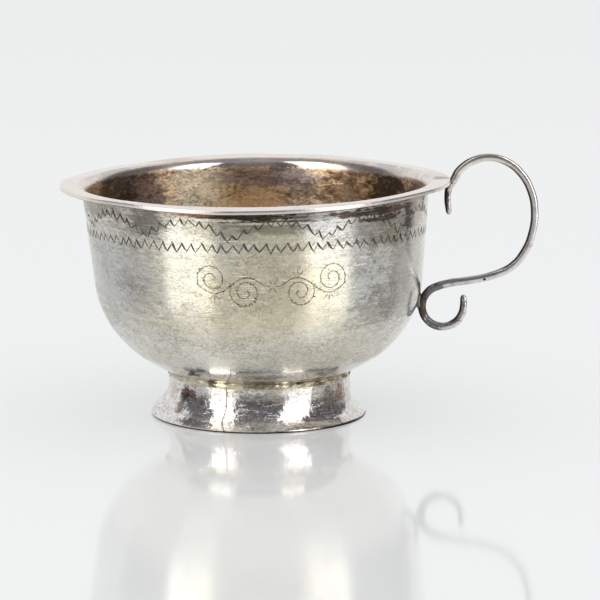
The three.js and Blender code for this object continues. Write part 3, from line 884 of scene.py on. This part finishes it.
def flowJoint():
    bm = bmesh.new()
    top = underBowl(neck + joint["reach"]) + joint["intoBowl"]
    tip = start = bmesh.ops.create_vert(bm, co=(neck - joint["inset"], 0, joint["low"]))["vert"][0]
    tip = run(bm, tip, (joint["inset"] + joint["swell"] / 2, 0, joint["lowRise"]), 2)
    tip = run(bm, tip, (joint["swell"] / 2, 0, joint["swellHeight"]), 6)
    tip = run(bm, tip, (neck + joint["reach"] - tip.co.x, 0, top - tip.co.z), 5)
    tip = run(bm, tip, (-joint["reach"] - joint["inset"], 0, joint["topRise"]), 3)
    tip = run(bm, tip, (0, 0, joint["low"] - tip.co.z), 3)
    bmesh.ops.weld_verts(bm, targetmap={tip: start})
    spinRound(bm, joint["roundSteps"])
    outward(bm)
    for vert in bm.verts:
        radius = hypot(vert.co.x, vert.co.y)
        if radius > neck + joint["skin"]:
            ring = Vector((vert.co.x, vert.co.y, 0)) / radius
            spot = Vector((vert.co.x, vert.co.y, 2 * vert.co.z)) / joint["roughSize"]
            vert.co += ring * joint["rough"] * noise.noise(spot)
            sagSpot = spot * joint["sagRate"] + Vector((1, 1, 1)) * joint["sagShift"]
            sag = joint["sag"] * noise.noise(sagSpot)
            vert.co.z += sag * (1 - smoothStep(joint["low"], joint["sagTop"], vert.co.z))
            tornSpot = Vector((ring.x, ring.y, 2)) * joint["crackRate"]
            torn = smoothStep(*joint["crackEnds"], noise.noise(tornSpot))
            sway = joint["crackSway"] * noise.noise(ring * joint["swayRate"])
            off = vert.co.z - joint["crackHeight"] - sway
            crack = exp(-(off / joint["crackWidth"]) ** 2)
            vert.co -= ring * joint["crack"] * torn * crack
    shift(bm, (axisX + foot["neckShift"], 0, 0))
    return bm


placePiece("jointSolder", flowJoint(), [paleSolder], "foot_joint_solder")


# Handle: one wire, hooked under the lip, looped out and scrolled in against the wall

handle = {
    "radius": 0.61, "hookLength": 5.3, "hookSet": 0.45, "lipSeat": 0.45, "loopRise": 3.54,
    "loopReach": 12.98, "loopHalfWidth": 7.1, "loopDrop": 5.2, "loopKnots": 11, "loopStart": 130,
    "loopStep": 21, "scrollHeight": 16.25, "scrollRadius": 3.2, "armRise": 1.65, "scrollKnots": 10,
    "scrollStart": 115, "scrollEnd": 360, "scrollTail": 1.75, "clearance": 0.1, "lipSet": 3.4,
    "squareness": 0.72, "hammer": 0.016, "hammerSize": 1.4, "tipStep": 0.22, "endRound": 0.08,
    "sectionSteps": 5, "lineSteps": 9,
    "hookTaper": [0.34, 0.62, 0.74, 0.84, 0.94], "tailTaper": [0.92, 0.82, 0.66, 0.36],
}
curl = handle["scrollRadius"]
edgeRadius = mouth + handle["lipSet"]
edgeFall = (edgeRadius - bendCentre.x) * tan(radians(bowl["lipDroop"]))
lipEdge = lean @ Vector((edgeRadius, 0, bowl["height"] - sheet / 2 - edgeFall))
scrollSpace = handle["clearance"] + handle["radius"] + curl
scrollFall = bellyCentre.z - handle["scrollHeight"]
scrollOut = bellyCentre.x + sqrt((belly + scrollSpace) ** 2 - scrollFall ** 2)
scrollCentre = lean @ Vector((scrollOut, 0, handle["scrollHeight"]))


def wirePoints():
    hook, length = handle["hookSet"], handle["hookLength"]
    points = [
        (lipEdge.x - hook / 2, lipEdge.z - length),
        (lipEdge.x - hook / 2, lipEdge.z - length + handle["tipStep"]),
        (lipEdge.x - hook * 0.6, lipEdge.z - length + 2.5 * handle["tipStep"]),
        (lipEdge.x - hook, lipEdge.z - length / 2),
        (lipEdge.x - hook * 0.4, lipEdge.z - length / 5),
        (lipEdge.x + handle["lipSeat"], lipEdge.z),
    ]
    loopX = lipEdge.x + handle["loopReach"] - handle["loopHalfWidth"]
    loopZ = lipEdge.z - handle["loopDrop"]
    loopDown = loopZ - scrollCentre.z - curl - handle["armRise"]
    for step in range(handle["loopKnots"]):
        turn = radians(handle["loopStart"] - handle["loopStep"] * step)
        high = handle["loopRise"] + handle["loopDrop"] if turn > 0 else loopDown
        points.append((loopX + handle["loopHalfWidth"] * cos(turn), loopZ + high * sin(turn)))
    scrollTurn = handle["scrollEnd"] - handle["scrollStart"]
    for step in range(handle["scrollKnots"]):
        turn = radians(handle["scrollStart"] + scrollTurn * step / (handle["scrollKnots"] - 1))
        points.append((scrollCentre.x + curl * cos(turn), scrollCentre.z + curl * sin(turn)))
    tail = scrollCentre.z + handle["scrollTail"]
    points += [(scrollCentre.x + curl, tail - short * handle["tipStep"]) for short in (2.5, 1, 0)]
    return [Vector((x, 0, z)) for x, z in points]


def drawWire():
    section = bpy.data.curves.new("wireSection", "CURVE")
    section.dimensions = "2D"
    ring = section.splines.new("BEZIER")
    ring.bezier_points.add(3)
    for step, knot in enumerate(ring.bezier_points):
        turn = pi / 2 * step
        here = Vector((cos(turn), sin(turn), 0)) * handle["radius"]
        along = Vector((-sin(turn), cos(turn), 0)) * handle["radius"] * handle["squareness"]
        knot.co, knot.handle_left, knot.handle_right = here, here - along, here + along
    ring.use_cyclic_u, ring.resolution_u = True, handle["sectionSteps"]
    sectionPart = bpy.data.objects.new("wireSection", section)
    line = bpy.data.curves.new("wireLine", "CURVE")
    line.dimensions = "3D"
    spline = line.splines.new("BEZIER")
    points = wirePoints()
    spline.bezier_points.add(len(points) - 1)
    hookTaper, tailTaper = handle["hookTaper"], handle["tailTaper"]
    shares = hookTaper + [1.0] * (len(points) - len(hookTaper) - len(tailTaper)) + tailTaper
    for knot, spot, share in zip(spline.bezier_points, points, shares):
        knot.co, knot.radius = spot, share
        knot.handle_left_type = knot.handle_right_type = "AUTO"
    spline.resolution_u = handle["lineSteps"]
    line.bevel_mode, line.bevel_object, line.use_fill_caps = "OBJECT", sectionPart, True
    bm = bmesh.new()
    bm.from_mesh(applied(bpy.data.objects.new("wireLine", line), sectionPart))
    weld(bm)
    ends = [face for face in bm.faces if len(face.verts) > 6]
    rims = [edge for face in ends for edge in face.edges]
    bmesh.ops.bevel(bm, geom=rims, offset=handle["endRound"], offset_type="OFFSET", segments=2,
                    profile=0.5, affect="EDGES", material=-1, clamp_overlap=True)
    unsettle(bm.verts, handle["hammer"], handle["hammerSize"], 6.2)
    outward(bm)
    return bm


placePiece("scrollHandle", drawWire(), [wireSilver], "handle_wire")


# Small lumps of solder where the wire meets the lip and the wall

lumps = {
    "rim": {"radii": (0.62, 0.72, 0.5), "rough": 0.12, "roughSize": 0.7, "seed": 2.0},
    "wall": {"radii": (0.5, 1.0, 1.9), "rough": 0.25, "roughSize": 0.9, "seed": 5.0},
}
underEdge = Vector((0, 0, -0.25))


def meltLump(name, spot):
    look = lumps[name]
    bm = bmesh.new()
    bmesh.ops.create_icosphere(bm, subdivisions=4, radius=1)
    bmesh.ops.scale(bm, vec=look["radii"], verts=bm.verts[:])
    unsettle(bm.verts, look["rough"], look["roughSize"], look["seed"])
    shift(bm, spot)
    placePiece(name + "Lump", bm, [darkSolder], name + "_solder")


wallTouch = scrollCentre.lerp(lean @ bellyCentre, scrollSpace / (scrollSpace + belly))
meltLump("rim", lipEdge + underEdge)
meltLump("wall", wallTouch)


# Studio: glossy pale table and backdrop, two tall soft windows in front, dark room between them

studio = {
    "table": (0.45, 0.46, 0.46), "tableGlow": 0.375, "tableGloss": 0.07, "tableSize": 6.0,
    "glowColour": (0.985, 1, 1), "skyLow": (0.24, 0.24, 0.24), "skyHigh": (1.36, 1.36, 1.36),
    "skyEdge": (0.1, 0.9), "backdrop": (0.87, 0.88, 0.89), "room": (0.15, 0.15, 0.165),
    "roomEdge": (0.60, 0.52), "roomTurn": (-0.2245, 1, 0.25),
    "ceiling": (0.34, 0.34, 0.36), "ceilingEdge": (0.75, 0.93),
    "windowDistance": 1.6, "windowFoot": 0.03, "windowHeight": 2.9,
    "windows": {"left": (-48.0, 0.96, 3.15), "right": (50.5, 0.91, 2.7)},  # azimuth, width, brightness
}


def layTable():
    bm = bmesh.new()
    bmesh.ops.create_grid(bm, x_segments=1, y_segments=1, size=studio["tableSize"])
    table = bpy.data.objects.new("table", toMesh(bm, "table"))
    scene.collection.objects.link(table)
    material = bpy.data.materials.new("paleTable")
    material.use_nodes = True
    shader = material.node_tree.nodes["Principled BSDF"]
    shader.inputs["Base Color"].default_value = (*studio["table"], 1)
    shader.inputs["Roughness"].default_value = studio["tableGloss"]
    # Lit from below too, so shadows stay faint
    shader.inputs["Emission Color"].default_value = (*studio["glowColour"], 1)
    mirrored = addNode(material.node_tree, "Fresnel").outputs["Fac"]
    glow = between(material.node_tree, mirrored, 0, 1, studio["tableGlow"], 0)
    material.node_tree.links.new(glow, shader.inputs["Emission Strength"])
    table.data.materials.append(material)


def hangWindow(name, azimuth, width, brightness):
    turn = radians(azimuth)
    lamp = bpy.data.lights.new(name, "AREA")
    lamp.shape, lamp.size, lamp.size_y = "RECTANGLE", width, studio["windowHeight"]
    lamp.energy = brightness * pi * lamp.size * lamp.size_y
    part = bpy.data.objects.new(name, lamp)
    spot = Vector((sin(turn), -cos(turn), 0)) * studio["windowDistance"]
    part.rotation_euler = (-spot).to_track_quat("-Z", "Y").to_euler()
    part.location = spot + Vector((0, 0, studio["windowFoot"] + studio["windowHeight"] / 2))
    part.visible_diffuse = False  # the sky alone lights the table, so it stays even
    scene.collection.objects.link(part)


def lightSky():  # metal mirrors a pale backdrop behind, and a dark room in front and overhead
    world = bpy.data.worlds.new("sky")
    world.use_nodes = True
    tree = world.node_tree
    toward = addNode(tree, "TexCoord").outputs["Generated"]
    facing = addNode(tree, "SeparateXYZ", {"Vector": toward}).outputs
    behind = addNode(tree, "VectorMath", {0: toward, 1: studio["roomTurn"]},
                     operation="DOT_PRODUCT").outputs["Value"]
    inRoom = between(tree, behind, *studio["roomEdge"])
    seen = blendColours(tree, inRoom, studio["backdrop"], studio["room"])
    overhead = between(tree, facing["Z"], *studio["ceilingEdge"])
    seen = blendColours(tree, overhead, seen, studio["ceiling"])
    high = between(tree, facing["Z"], *studio["skyEdge"])
    soft = blendColours(tree, high, studio["skyLow"], studio["skyHigh"])
    path = addNode(tree, "LightPath").outputs
    direct = work(tree, "LESS_THAN", path["Diffuse Depth"], 0.5)
    mirrored = work(tree, "MULTIPLY", path["Is Glossy Ray"], direct)
    tree.links.new(blendColours(tree, mirrored, soft, seen), tree.nodes["Background"].inputs["Color"])
    scene.world = world


def aimCamera():
    view = {"distance": 0.520, "height": 0.10941, "pitch": 10.017, "lens": 204.97, "sideways": 0.00003}
    data = bpy.data.cameras.new("camera")
    data.lens, data.sensor_width = view["lens"], 36
    data.clip_start, data.clip_end = 0.01, 50
    camera = bpy.data.objects.new("camera", data)
    camera.location = (view["sideways"], -view["distance"], view["height"])
    camera.rotation_euler = (radians(90 - view["pitch"]), 0, 0)
    scene.collection.objects.link(camera)
    scene.camera = camera


layTable()
for side, (azimuth, width, brightness) in studio["windows"].items():
    hangWindow(side + "Window", azimuth, width, brightness)
lightSky()
aimCamera()
scene.view_settings.view_transform = "Standard"
print("studio set")
